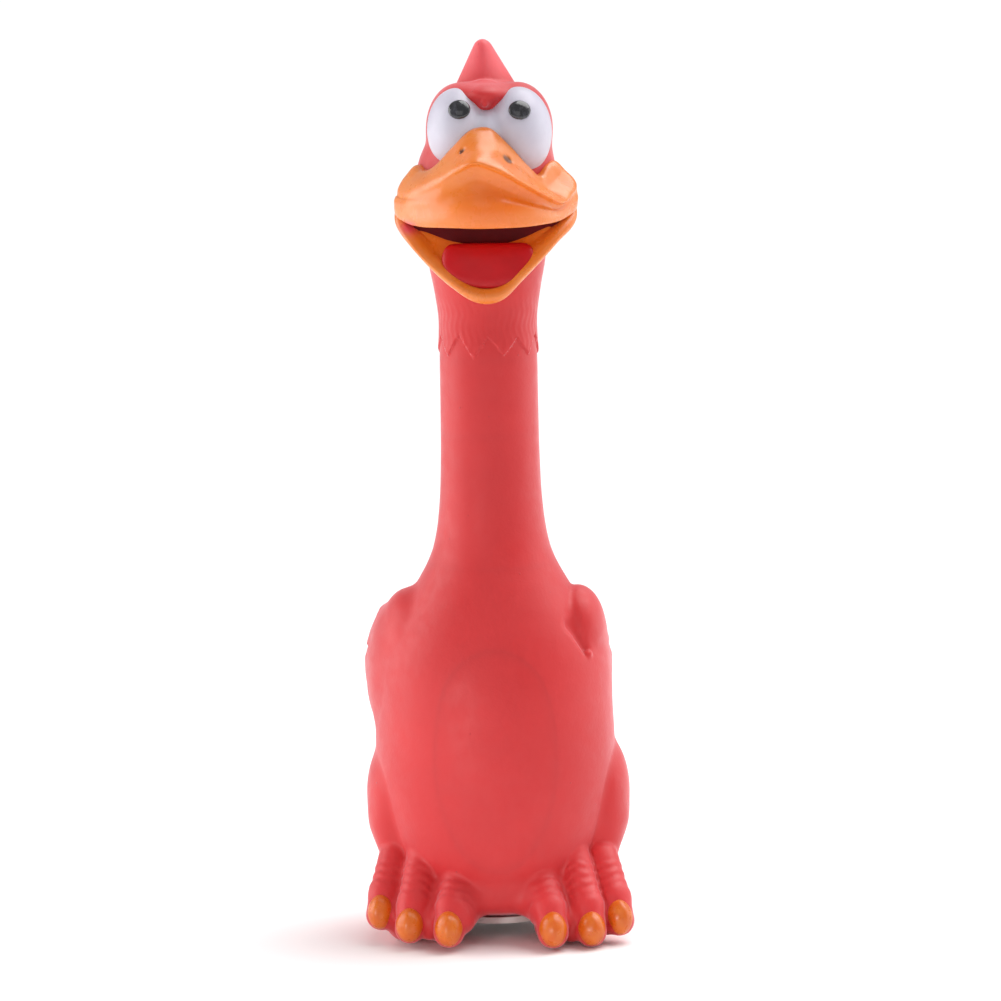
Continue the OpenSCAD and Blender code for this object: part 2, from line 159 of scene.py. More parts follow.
def turned_body(p):
    """The body, neck and temples as one turned shape, broadened at the belly."""
    r = np.hypot(p[:, 0] / np.interp(p[:, 2], HEIGHTS, WIDER), p[:, 1])
    d = (r - np.interp(p[:, 2], HEIGHTS, RADII)) * np.interp(p[:, 2], HEIGHTS, SLANT)
    d = carve(d, 5.0 - p[:, 2], 1.6)
    return carve(d, p[:, 2] - 190.0, 3.0)


FEATHER = {"length": 7.0, "width": 7.4, "depth": 0.6}
QUILL_WIDTH = 5.2
QUILL_DEPTH = 0.7


def scales(along, across):
    """Overlapping rounded feather tips: each row steps down at its lower edge."""
    row = np.floor(along / FEATHER["length"])
    shift = np.where(row % 2 == 0, 0.0, 0.5)
    cell = across / FEATHER["width"] + shift
    middle = np.abs(cell - np.floor(cell) - 0.5) * 2
    t = along / FEATHER["length"] - row + 0.38 * (1 - middle ** 2)
    t = t - np.floor(t)
    return FEATHER["depth"] * (t ** 1.5) * smooth_step((1 - t) / 0.12)


# Centre and radii of each wing's shoulder and blade.
WINGS = {-1: (((-20.3, 0.5, 73.4), (7.2, 10.5, 10.8)), ((-25.2, 6.0, 63.4), (6.0, 13.5, 15.6))),
         1: (((20.6, -1.8, 73.8), (6.8, 11.0, 10.8)), ((22.9, 5.5, 62.4), (5.8, 13.5, 15.8)))}
# The line of the hollow in front of the +X wing, from its top to its low end, and the nub there.
ARMPIT = ((19.6, -11.8, 82.6), (19.0, -14.2, 76.8), (22.2, -13.6, 70.2))
ARMPIT_NUB = ((22.7, -13.2, 69.4), (0.9, 0.9, 0.8))


def wing(p, side):
    """One folded wing: a shoulder, a long blade behind it and rows of feathers on its outside."""
    shoulder, blade = WINGS[side]
    d = melt(egg(p, *shoulder, lean=6), egg(p, *blade, lean=12), 3.5)
    along = (86 - p[:, 2]) * 0.94 + (p[:, 1] + 4) * 0.34
    across = (p[:, 1] + 20) * 0.94 - (86 - p[:, 2]) * 0.30
    short_feathers = scales(along, across) * smooth_step((24 - along) / 4)
    stripe = across / QUILL_WIDTH
    t = stripe - np.floor(stripe)
    long_feathers = QUILL_DEPTH * t * smooth_step((1 - t) / 0.2) * smooth_step((along - 19) / 4)
    feathered = smooth_step((along - 4) / 8) * smooth_step((p[:, 1] - 1) / 8)
    return d - (short_feathers + long_feathers) * feathered


def armpit(p):
    """The hollow in front of the wing on the +X side."""
    top, turn, end = ARMPIT
    upper, _ = rod(p, top, turn, 0.5, 1.3)
    lower, _ = rod(p, turn, end, 1.3, 0.6)
    return melt(upper, lower, 1.0)


THIGH_REACH = {-1: 31.5, 1: 32.6}    # how far out the widest part of each thigh stands


def thigh(p, side):
    """A thigh's round muscle with a short shin melted to its underside."""
    x = THIGH_REACH[side]
    muscle = egg(p, (side * (x - 8.0), 3.0, 33.8), (8.0, 13.4, 14.6), lean=16, yaw=side * 8)
    shin, _ = rod(p, (side * (x - 8.2), -3, 26), (side * (x - 8.4), -7, 13), 6.2, 4.2)
    return melt(muscle, shin, 5.0)


# Root, knuckle and tip of the inner, middle and outer toe of each foot. The -X foot's are mirrored, so that
# each x is a distance from the middle.
TOES = {1: [((9.8, -15.5, 16.4), (12.2, -24.3, 9.3), (13.0, -28.2, 4.4)),
            ((18.4, -13.0, 19.2), (21.5, -21.6, 9.2), (22.3, -25.2, 3.8)),
            ((25.4, -9.5, 18.4), (28.1, -17.0, 10.2), (29.1, -20.6, 5.4))],
        -1: [((9.0, -15.5, 16.6), (11.0, -24.0, 9.8), (11.9, -27.8, 4.9)),
             ((18.0, -12.6, 19.4), (20.5, -20.4, 10.0), (21.3, -23.8, 5.1)),
             ((25.0, -8.0, 18.6), (27.4, -14.0, 11.4), (28.3, -17.0, 7.0))]}
TOE_R = (3.9, 3.8, 3.85)
# Where the skin between the feet runs out into each inner toe, and how thick it is.
WEBS = {-1: ((5.5, -16.5, 11.0), (9.0, -24.2, 7.2), 3.6), 1: ((6.5, -16.5, 11.0), (10.4, -22.5, 8.0), 3.2)}
CROTCH = ((-9.5, -17.6, 11.4), (9.5, -17.6, 11.4), 4.3)
WRINKLE_PITCH = 2.5
WRINKLE_DEPTH = 0.09


def toe(p, joints, r):
    """One toe, ringed with soft wrinkles above its claw."""
    upper, run = rod(p, joints[0], joints[1], r + 0.25, r)
    lower, _ = rod(p, joints[1], joints[2], r, r - 0.15)
    wave = np.cos(run * 2 * math.pi / WRINKLE_PITCH + 0.9 * np.sin(p[:, 0] * 1.1))
    return melt(upper + WRINKLE_DEPTH * wave * smooth_step((run - 1) / 3), lower, 1.2)


def foot(p, side):
    """Three toes with webs between them, the web to the crotch, the sole and the heel."""
    q = p * np.array([side, 1, 1])
    toes = np.array(TOES[side])
    d = None
    for joints, r in zip(toes, TOE_R):
        t = toe(q, joints, r)
        d = t if d is None else melt(d, t, 0.9)
    for (a, b), thick in (((0, 1), 2.9), ((1, 2), 2.7)):
        root, knee, tip = (toes[a] + toes[b]) / 2 + [(0, 0, -3.4), (0, 0, -3.6), (0, 3.6, -0.6)]
        web = melt(rod(q, root, knee, thick + 1, thick)[0], rod(q, knee, tip, thick, thick - 0.3)[0], 1.5)
        d = melt(d, web, 1.6)
    sole = melt(rod(q, (12.8, -19, 4.2), (20.5, 9, 4.2), 4.2, 4.6)[0],
                rod(q, (22.5, -14, 4.4), (22.5, 9, 4.4), 4.6, 4.8)[0], 3.0)
    heel = rod(q, (22.4, -3, 11.5), (22.6, 9, 4.6), 5.8, 4.7)[0]
    near, far, thick = WEBS[side]
    d = melt(d, rod(q, near, far, thick, thick)[0], 2.0)
    return melt(d, melt(sole, heel, 3.0), 2.0)


def tail(p):
    """A round tuft with five short feathers."""
    d = egg(p, (0, 25.0, 36.5), (9.0, 8.6, 9.2), lean=-24)
    for x, z, length in ((0, 41.5, 4.6), (-4.6, 39.0, 4.0), (4.6, 39.0, 4.0), (-7.8, 35.0, 3.4),
                         (7.8, 35.0, 3.4)):
        d = melt(d, egg(p, (x, 29.2 - abs(x) * 0.35, z), (2.5, 4.4, length + 1.6), lean=-34), 0.8)
    return d


# Eyelids, eyes and the white bridge between them, each as centre and radii; pupils as centre and turn.
LIDS = (((-6.0, -4.5, 195.8), (8.0, 10.4, 10.9)), ((7.9, -4.3, 195.6), (8.5, 10.2, 11.1)))
EYES = (((-6.3, -7.4, 195.6), (7.4, 9.7, 10.2)), ((8.0, -7.2, 194.9), (8.1, 9.6, 10.9)))
BRIDGE = ((0.6, -7.6, 193.4), (6.4, 8.7, 8.0))
PUPILS = (("left", (-5.9, -15.6, 200.8), -4), ("right", (8.4, -15.3, 200.4), 6))
PUPIL_BULGE = 1.0


def head(p):
    """The skull with its eyelids, the brow that runs down to a point between them, and the jowls."""
    d = egg(p, (0.9, 0.5, 190), (14.9, 15.2, 17.0))
    for lid in LIDS:
        d = melt(d, egg(p, *lid), 2.0)
    d = melt(d, egg(p, (0.1, -5.8, 204.0), (5.8, 8.8, 2.9)), 2.4)
    d = melt(d, rod(p, (0.1, -6.0, 203.4), (0.15, -13.8, 202.0), 4.0, 0.8)[0], 1.2)
    jowls = egg(p, (0, -0.5, 179.5), (18.4, 9.5, 11.5))
    return melt(d, jowls, 5.0)


def comb(p):
    """The comb: a blunt wedge, widest at its foot, leaning a little to -X and backwards."""
    t = np.clip((p[:, 2] - 205.0) / 12.4, 0, 1.05)
    half = 7.8 - 6.7 * t
    deep = 7.4 - 5.6 * t
    x = np.abs(p[:, 0] - 0.55 + 0.75 * t)
    y = np.abs(p[:, 1] - 0.4 - 1.2 * t)
    d = (np.power((x / half) ** 1.7 + (y / deep) ** 1.7, 1 / 1.7) - 1) * np.minimum(half, deep) * 0.9
    return carve(carve(d, p[:, 2] - 216.9, 1.5), 200 - p[:, 2], 1.0)


COLLAR_POINT = 141.2             # height of the collar's points
COLLAR_NOTCH = 4.8               # how far its notches rise above them
COLLAR_STEP = 36.0               # degrees from notch to notch
COLLAR_RELIEF = 0.42
BARB_RELIEF = 0.03


def collar(p):
    """How far the zigzag collar of short feathers stands off the neck."""
    a = around(p)
    tooth = np.abs(((a / COLLAR_STEP) % 1.0) - 0.5) * 2          # 1 at each notch, 0 at each point
    edge = COLLAR_POINT + COLLAR_NOTCH * tooth + 0.35 * np.sin(np.radians(a) * 7)
    barbs = BARB_RELIEF * np.sin(np.radians(a) * 44 + 1.7 * np.sin(p[:, 2] * 0.9))
    barbs *= smooth_step((150 - p[:, 2]) / 8 + 1)
    return (COLLAR_RELIEF + barbs) * smooth_step((p[:, 2] - edge) / 0.5) * smooth_step((p[:, 2] - 172) / -20)


def skin_field(p):
    """Signed distance to the moulded skin, roughly, in millimetres. Negative is inside."""
    z = p[:, 2]
    d = turned_body(p)
    low = z < 100
    if low.any():
        q = p[low]
        e = d[low]
        e = melt(e, wing(q, -1), 2.4)
        e = melt(e, wing(q, 1), 1.0)
        e = melt(carve(e, -armpit(q), 2.0), egg(q, *ARMPIT_NUB), 0.9)
        for limb, fillet in ((thigh, 1.3), (foot, 1.2)):
            for side in (-1, 1):
                e = melt(e, limb(q, side), fillet)
        from_side, to_side, thick = CROTCH
        e = melt(e, rod(q, from_side, to_side, thick, thick)[0], 3.0)
        e = melt(e, tail(q), 2.0)
        # Flat on the floor, with a pocket that holds the squeaker.
        e = carve(e, -q[:, 2], 0.5)
        reach = np.hypot(q[:, 0], q[:, 1])
        pocket = np.maximum(reach - BARREL_R - PRESS_GAP, q[:, 2] - BARREL_TOP - 0.6)
        flange_room = np.maximum(reach - FLANGE_R - 0.4, q[:, 2] - FLANGE_TOP)
        e = np.maximum(e, -np.minimum(pocket, flange_room))
        d[low] = e
    high = z > 150
    if high.any():
        q = p[high]
        e = melt(d[high], head(q), 4.0)
        mouth_room = egg(q, (0, -16, 168.5), (15.5, 7, 8.5))
        e = carve(e, -mouth_room, 0.5)
        d[high] = melt(e, comb(q), 0.5)
    band = (z > 130) & (z < 175)
    if band.any():
        d[band] -= collar(p[band])
    return d


def slope_of(field, p, step=0.08):
    """Direction in which a field grows, at each point."""
    corners = np.array([(1, -1, -1), (-1, -1, 1), (-1, 1, -1), (1, 1, 1)], float)
    return sum(c * field(p + c * step)[:, None] for c in corners) / (4 * step)


def mould(field, low, high, cell):
    """Meshes the zero of a field with quads: one point in each cell that the surface crosses."""
    low, high = np.array(low, float), np.array(high, float)
    block = 8
    blocks = np.ceil((high - low) / (cell * block)).astype(int)
    n = blocks * block
    axes = [low[i] + cell * block * (np.arange(blocks[i]) + 0.5) for i in range(3)]
    coarse = np.stack(np.meshgrid(*axes, indexing="ij"), -1).reshape(-1, 3)
    values = field(coarse)
    near = np.abs(values) < cell * block * 1.35
    inside = values < 0
    grid = np.where(inside, -9.0, 9.0).reshape(blocks)
    for axis in range(3):
        grid = np.repeat(grid, block, axis)
    index = np.argwhere(near.reshape(blocks))
    offset = np.stack(np.meshgrid(*[np.arange(block)] * 3, indexing="ij"), -1).reshape(-1, 3)
    for part in np.array_split(index, max(1, len(index) // 400)):
        cells = (part[:, None, :] * block + offset[None]).reshape(-1, 3)
        grid[cells[:, 0], cells[:, 1], cells[:, 2]] = field(low + cells * cell)
    negative = grid < 0
    owners, places, quads = [], [], []
    for d in range(3):
        a = [slice(0, -1) if i == d else slice(None) for i in range(3)]
        b = [slice(1, None) if i == d else slice(None) for i in range(3)]
        cross = np.argwhere(negative[tuple(a)] != negative[tuple(b)])
        step, u, w = (np.eye(3, dtype=int)[(d + i) % 3] for i in range(3))
        cross = cross[(cross[:, (d + 1) % 3] > 0) & (cross[:, (d + 2) % 3] > 0)]
        va, vb = grid[tuple(cross.T)], grid[tuple((cross + step).T)]
        place = cross.astype(float)
        place[:, d] += va / (va - vb)
        ring = np.stack([cross - u - w, cross - w, cross, cross - u], 1)
        ring[va >= 0] = ring[va >= 0][:, ::-1]
        owners.append(np.ravel_multi_index(tuple(ring.reshape(-1, 3).T), grid.shape))
        places.append(np.repeat(place, 4, 0))
    used, faces = np.unique(np.concatenate(owners), return_inverse=True)
    faces = faces.ravel()
    places = np.concatenate(places)
    share = np.bincount(faces)
    points = np.stack([np.bincount(faces, places[:, i]) / share for i in range(3)], 1) * cell + low
    faces = faces.reshape(-1, 4)
    for _ in range(3):
        g = slope_of(field, points)
        f = field(points)
        move = -(f / np.maximum((g * g).sum(1), 0.2))[:, None] * g
        reach = np.linalg.norm(move, axis=1, keepdims=True)
        points = points + move * np.minimum(1, 0.45 * cell / np.maximum(reach, 1e-9))
    return points, faces


def placed(name, data):
    """An object for some mesh, lamp or camera, put in the scene at the origin."""
    thing = bpy.data.objects.new(name, data)
    bpy.context.scene.collection.objects.link(thing)
    return thing


def mesh_object(name, points, faces, smooth=True):
    """Makes an object at the origin from millimetre points and faces."""
    mesh = bpy.data.meshes.new(name)
    faces = np.asarray(faces)
    mesh.vertices.add(len(points))
    mesh.vertices.foreach_set("co", (np.asarray(points) * MM).astype(np.float32).ravel())
    corners = faces.shape[1]
    mesh.loops.add(faces.size)
    mesh.loops.foreach_set("vertex_index", faces.astype(np.int32).ravel())
    mesh.polygons.add(len(faces))
    mesh.polygons.foreach_set("loop_start", np.arange(0, faces.size, corners, dtype=np.int32))
    mesh.polygons.foreach_set("use_smooth", np.full(len(faces), smooth))
    mesh.update(calc_edges=True)
    mesh.validate()
    return placed(name, mesh)


def round_blank(name, across, down, reshape):
    """A closed ball of unit size, each of whose points is moved by the given function."""
    bm = bmesh.new()
    bmesh.ops.create_uvsphere(bm, u_segments=across, v_segments=down, radius=1.0)
    for v in bm.verts:
        v.co = reshape(*v.co)
    for f in bm.faces:
        f.smooth = True
    mesh = bpy.data.meshes.new(name)
    bm.to_mesh(mesh)
    bm.free()
    return placed(name, mesh)


def ball(name, centre, radii, lean=0.0, yaw=0.0):
    """A closed egg. Lean tips its top backwards, yaw turns it about the vertical, in degrees."""
    c, s = math.cos(math.radians(lean)), math.sin(math.radians(lean))
    cy, sy = math.cos(math.radians(yaw)), math.sin(math.radians(yaw))

    def reshape(x, y, z):
        x, y, z = x * radii[0], y * radii[1], z * radii[2]
        y, z = c * y + s * z, c * z - s * y
        x, y = cy * x - sy * y, cy * y + sy * x
        return (np.array((x, y, z)) + centre) * MM
    return round_blank(name, 40, 28, reshape)


def lofted(name, angles, rows, columns, rings):
    """A closed shell swept about the upright axis.

    Rows run once round the section; each is (reaches, heights), one of each for every angle.
    """
    fine = np.linspace(angles[0], angles[-1], columns)
    reach = np.array([curve_through(list(zip(angles, row[0])), fine) for row in rows])
    height = np.array([curve_through(list(zip(angles, row[1])), fine) for row in rows])
    count = len(rows)
    gaps = np.hypot(np.roll(reach, -1, 0) - reach, np.roll(height, -1, 0) - height).mean(1)
    order = np.arange(-2, count + 3)
    place = np.concatenate([[0], np.cumsum(gaps[order[:-1] % count])])
    place -= place[2]
    t = np.linspace(0, gaps.sum(), rings, endpoint=False)
    around_row = order % count
    loop_r = np.array([curve_through(list(zip(place, reach[around_row, j])), t) for j in range(columns)])
    loop_z = np.array([curve_through(list(zip(place, height[around_row, j])), t) for j in range(columns)])
    a = np.radians(fine)[:, None]
    points = np.stack([loop_r * np.sin(a), -loop_r * np.cos(a), loop_z], -1).reshape(-1, 3)
    i, j = np.meshgrid(np.arange(columns - 1), np.arange(rings), indexing="ij")
    k = (j + 1) % rings
    faces = np.stack([i * rings + j, (i + 1) * rings + j, (i + 1) * rings + k, i * rings + k], -1)
    piece = mesh_object(name, points, faces.reshape(-1, 4))
    bm = bmesh.new()
    bm.from_mesh(piece.data)
    bmesh.ops.holes_fill(bm, edges=[e for e in bm.edges if e.is_boundary], sides=0)
    bmesh.ops.recalc_face_normals(bm, faces=bm.faces)
    bm.to_mesh(piece.data)
    bm.free()
    return piece


def mask(piece, name, values):
    """Stores one number for each point of a piece, for its material to read."""
    layer = piece.data.attributes.new(name, "FLOAT", "POINT")
    layer.data.foreach_set("value", np.asarray(values, np.float32))


def points_of(piece):
    """The piece's points in millimetres."""
    co = np.zeros(len(piece.data.vertices) * 3, np.float32)
    piece.data.vertices.foreach_get("co", co)
    return co.reshape(-1, 3).astype(float) / MM


def move_points(piece, points):
    piece.data.vertices.foreach_set("co", (points * MM).astype(np.float32).ravel())
    piece.data.update()


# ------------------------------------------------------------------ materials

class Finish:
    """A material under construction: adds nodes and links by short calls."""

    def __init__(self, name):
        self.material = bpy.data.materials.new(name)
        self.material.use_nodes = True
        self.tree = self.material.node_tree
        self.shader = self.tree.nodes["Principled BSDF"]
        self.place = self.node("ShaderNodeTexCoord").outputs["Object"]

    def node(self, kind, **settings):
        made = self.tree.nodes.new(kind)
        for key, value in settings.items():
            setattr(made, key, value)
        return made

    def link(self, source, target):
        self.tree.links.new(source, target)

    def set(self, **values):
        for key, value in values.items():
            self.shader.inputs[key.replace("_", " ")].default_value = value

    def noise(self, scale, detail=2.0, rough=0.5, stretch=None):
        n = self.node("ShaderNodeTexNoise")
        n.inputs["Scale"].default_value = scale
        n.inputs["Detail"].default_value = detail
        n.inputs["Roughness"].default_value = rough
        source = self.place
        if stretch:
            m = self.node("ShaderNodeMapping")
            m.inputs["Scale"].default_value = stretch
            self.link(self.place, m.inputs["Vector"])
            source = m.outputs["Vector"]
        self.link(source, n.inputs["Vector"])
        return n.outputs["Fac"]

    def pits(self, scale, low, high):
        v = self.node("ShaderNodeTexVoronoi")
        v.inputs["Scale"].default_value = scale
        self.link(self.place, v.inputs["Vector"])
        return self.spread(v.outputs["Distance"], low, high)

    def spread(self, source, low, high, to_low=0.0, to_high=1.0):
        m = self.node("ShaderNodeMapRange")
        m.interpolation_type = "SMOOTHSTEP"
        for key, value in (("From Min", low), ("From Max", high), ("To Min", to_low), ("To Max", to_high)):
            m.inputs[key].default_value = value
        self.link(source, m.inputs["Value"])
        return m.outputs["Result"]

    def layer(self, name):
        n = self.node("ShaderNodeAttribute")
        n.attribute_name = name
        return n.outputs["Fac"]

    def mix(self, factor, a, b):
        m = self.node("ShaderNodeMix", data_type="RGBA")
        for value, socket in ((factor, m.inputs["Factor"]), (a, m.inputs["A"]), (b, m.inputs["B"])):
            if hasattr(value, "links"):
                self.link(value, socket)
            elif isinstance(value, (int, float)):
                socket.default_value = value
            else:
                socket.default_value = tuple(value)[:3] + (1.0,)
        return m.outputs["Result"]

    def maths(self, operation, a, b):
        m = self.node("ShaderNodeMath", operation=operation)
        for value, socket in ((a, m.inputs[0]), (b, m.inputs[1])):
            if hasattr(value, "links"):
                self.link(value, socket)
            else:
                socket.default_value = value
        return m.outputs[0]

    def colour(self, source):
        self.link(source, self.shader.inputs["Base Color"])

    def two_tone(self, noise, first, second, high=0.7):
        """Base colour that wanders between two colours."""
        self.colour(self.mix(self.spread(noise, 0.3, high), first, second))

    def roughness(self, low, high, *noise):
        """Roughness that wanders between two values; noise is what the noise call takes."""
        self.link(self.spread(self.noise(*noise), 0.3, 0.7, low, high), self.shader.inputs["Roughness"])

    def scatter(self, weight, radius, scale):
        self.set(Subsurface_Weight=weight, Subsurface_Radius=radius, Subsurface_Scale=scale)

    def sheen(self, weight, roughness, tint=(1.0, 1.0, 1.0)):
        self.set(Sheen_Weight=weight, Sheen_Roughness=roughness, Sheen_Tint=(*tint, 1.0))

    def bump(self, *layers):
        """Each layer is (height, distance in millimetres)."""
        normal = None
        for height, distance in layers:
            b = self.node("ShaderNodeBump")
            b.inputs["Distance"].default_value = distance * MM
            b.inputs["Strength"].default_value = 1.0
            self.link(height, b.inputs["Height"])
            if normal is not None:
                self.link(normal, b.inputs["Normal"])
            normal = b.outputs["Normal"]
        self.link(normal, self.shader.inputs["Normal"])

    def on(self, *pieces):
        for piece in pieces:
            piece.data.materials.clear()
            piece.data.materials.append(self.material)


ORANGE_SCATTER = (1.0, 0.4, 0.15)
SKIN_SCATTER = (1.0, 0.25, 0.18)
TONGUE_SCATTER = (1.0, 0.2, 0.2)
WHITE_SCATTER = (0.8, 0.5, 0.6)
SKIN_SHEEN = (1.0, 0.70, 0.76)
BILL_SHEEN = (1.0, 0.8, 0.72)
COMB_FOOT, COMB_MIDDLE = 0.204, 0.212       # heights in metres between which the painted highlight on the comb comes in


def latex():
    f = Finish("coral_latex")
    s = bpy.context.scene.chicken_skin
    patch = f.spread(f.noise(38, 3.0, 0.55), 0.35, 0.7)
    base = f.mix(patch, s.colour, s.colour_patch)
    height = f.node("ShaderNodeSeparateXYZ")
    f.link(f.place, height.inputs[0])
    # Painted highlight: the skin turns a lighter pink up the comb, where light catches its top.
    comb_highlight = f.spread(height.outputs["Z"], COMB_FOOT, COMB_MIDDLE)
    base = f.mix(comb_highlight, base, s.comb_highlight_and_bare_colour)
    specks = f.pits(420, 0.05, 0.11)
    specks = f.maths("MULTIPLY", f.maths("SUBTRACT", 1.0, specks), f.spread(f.noise(170, 1.0), 0.62, 0.72))
    base = f.mix(f.maths("MULTIPLY", specks, 0.5), base, (0.25, 0.02, 0.025))
    f.colour(base)
    f.roughness(0.44, 0.56, 300, 3.0)
    f.scatter(0.16, SKIN_SCATTER, 0.003)
    f.sheen(0.5, 0.40, SKIN_SHEEN)
    f.set(Specular_IOR_Level=0.42)
    f.bump((f.noise(1500, 3.0, 0.6), 0.035), (f.noise(420, 2.0, 0.5), 0.05), (specks, 0.06))
    return f


def orange_paint():
    """The bill's paint; the pieces' own masks say where painted shade darkens the front under the crest and
    the nostrils, and where the paint is missing.
    """
    f = Finish("orange_paint")
    s = bpy.context.scene.chicken_face
    brushed = f.spread(f.noise(90, 3.0, 0.6, (1.0, 1.0, 2.2)), 0.3, 0.72)
    base = f.mix(brushed, s.bill_colour, s.bill_colour_thin)
    # Painted shade: a darker, deeper orange on the front under the crest, which the crest overhangs.
    base = f.mix(f.layer("deep"), base, s.bill_front_painted_shade)
    # Bare latex at the mouth corner takes the comb's painted highlight colour.
    base = f.mix(f.layer("bare"), base, bpy.context.scene.chicken_skin.comb_highlight_and_bare_colour)
    # Painted shade: dark brown in the nostril dents.
    base = f.mix(f.layer("slit"), base, (0.17, 0.05, 0.02))
    f.colour(base)
    f.roughness(0.24, 0.36, 260, 2.0)
    f.scatter(0.10, ORANGE_SCATTER, 0.002)
    f.sheen(0.08, 0.4, BILL_SHEEN)
    f.set(Specular_IOR_Level=0.55, Coat_Weight=0.2, Coat_Roughness=0.22)
    f.bump((f.noise(900, 3.0, 0.6), 0.03), (f.noise(240, 2.0, 0.5, (1.0, 1.0, 2.0)), 0.045))
    return f


def claw_paint():
    f = Finish("claw_paint")
    f.two_tone(f.noise(420, 3.0, 0.6), (0.61, 0.105, 0.004), (0.65, 0.145, 0.010), high=0.72)
    f.roughness(0.26, 0.38, 700, 2.0)
    f.scatter(0.08, ORANGE_SCATTER, 0.0015)
    f.bump((f.noise(1100, 3.0, 0.6), 0.03), (f.noise(480, 2.0, 0.5, (1.0, 1.0, 0.4)), 0.06))
    return f


def floor_finish():
    f = Finish("pale_floor")
    f.two_tone(f.noise(6, 2.0), (0.95, 0.95, 0.955), (0.97, 0.97, 0.97))
    f.set(Roughness=0.8, Specular_IOR_Level=0.1)
    return f


def eye_paint():
    f = Finish("white_eye_paint")
    s = bpy.context.scene.chicken_face
    cloudy = f.spread(f.noise(75, 3.0, 0.6), 0.35, 0.75)
    f.colour(f.mix(cloudy, s.eye_colour, s.eye_shade))
    f.roughness(0.34, 0.46, 300, 2.0)
    f.scatter(0.12, WHITE_SCATTER, 0.002)
    f.sheen(0.1, 0.4)
    f.bump((f.noise(800, 3.0, 0.6), 0.025), (f.noise(200, 2.0), 0.06))
    return f


def pupil_paint():
    f = Finish("black_pupil_paint")
    # Painted reflection: lighter grey streaks across the glossy black pupils.
    reflection_streaks = f.spread(f.noise(520, 4.0, 0.65, (1.0, 1.0, 0.5)), 0.45, 0.8)
    f.colour(f.mix(reflection_streaks, (0.008, 0.008, 0.011), (0.06, 0.06, 0.075)))
    f.roughness(0.10, 0.24, 600, 2.0)
    f.set(Coat_Weight=0.6, Coat_Roughness=0.08)
    f.bump((f.noise(420, 3.0, 0.6), 0.12))
    return f


def mouth_paint():
    f = Finish("maroon_mouth_paint")
    f.two_tone(f.noise(120, 3.0), (0.085, 0.002, 0.004), (0.12, 0.003, 0.006))
    f.roughness(0.5, 0.62, 300, 2.0)
    f.set(Specular_IOR_Level=0.12)
    f.bump((f.noise(900, 3.0), 0.03))
    return f


def tongue_paint():
    f = Finish("red_tongue_paint")
    s = bpy.context.scene.chicken_face
    f.two_tone(f.noise(110, 3.0, 0.6), s.tongue_colour, (0.47, 0.004, 0.008))
    f.roughness(0.3, 0.45, 300, 2.0)
    f.scatter(0.1, TONGUE_SCATTER, 0.002)
    f.set(Specular_IOR_Level=0.3)
    f.bump((f.noise(500, 3.0), 0.05))
    return f


def squeaker_plastic():
    f = Finish("squeaker_plastic")
    f.two_tone(f.noise(160, 2.0), (0.82, 0.82, 0.79), (0.74, 0.74, 0.70))
    f.roughness(0.38, 0.52, 500, 3.0)
    f.scatter(0.1, (1.0, 1.0, 1.0), 0.001)
    f.bump((f.noise(1400, 2.0), 0.02))
    return f


def reed_brass():
    f = Finish("reed_brass")
    f.two_tone(f.noise(400, 2.0), (0.78, 0.55, 0.20), (0.62, 0.40, 0.13))
    f.roughness(0.22, 0.40, 900, 3.0, 0.6, (1.0, 1.0, 0.08))
    f.set(Metallic=1.0)
    f.bump((f.noise(1600, 2.0, 0.5, (1.0, 1.0, 0.06)), 0.01))
    return f


# ------------------------------------------------------------------ the skin, cut where it flexes

CUTS = {"shoulder": 90.5, "mid_neck": 122.0, "collar": 140.5}
# The belly ahead of this y can be pressed flat; the toes stay out of it.
BELLY_PLANE = -23.6
BELLY_MIDDLE = (0, -27, 45)


def moulded_skin(cell):
    """The whole skin as one mesh, with its true surface directions kept for the pieces cut from it."""
    points, faces = mould(skin_field, (-36, -38, -1), (36, 38, 219), cell)
    whole = mesh_object("skin_blank", points, faces)
    normals = slope_of(skin_field, points, 0.12)
    normals /= np.maximum(np.linalg.norm(normals, axis=1, keepdims=True), 1e-9)
    layer = whole.data.attributes.new("true_normal", "FLOAT_VECTOR", "POINT")
    layer.data.foreach_set("vector", normals.astype(np.float32).ravel())
    bm = bmesh.new()
    bm.from_mesh(whole.data)
    bpy.data.objects.remove(whole)
    cuts = [((0, 0, z * MM), (0, 0, 1)) for z in CUTS.values()]
    cuts.append(((0, BELLY_PLANE * MM, 0), (0, 1, 0)))
    for place, way in cuts:
        bmesh.ops.bisect_plane(bm, geom=bm.verts[:] + bm.edges[:] + bm.faces[:], dist=1e-7,
                               plane_co=place, plane_no=way)
    bm.faces.ensure_lookup_table()
    return bm


def belly_faces(bm):
    """The faces of the dome ahead of the belly plane, found by walking out from its middle."""
    ahead = {f for f in bm.faces if f.calc_center_median().y < BELLY_PLANE * MM}
    middle = Vector(BELLY_MIDDLE) * MM
    start = min(ahead, key=lambda f: (f.calc_center_median() - middle).length)
    found, fresh = {start}, [start]
    while fresh:
        face = fresh.pop()
        for edge in face.edges:
            for other in edge.link_faces:
                if other in ahead and other not in found:
                    found.add(other)
                    fresh.append(other)
    return {f.index for f in found}


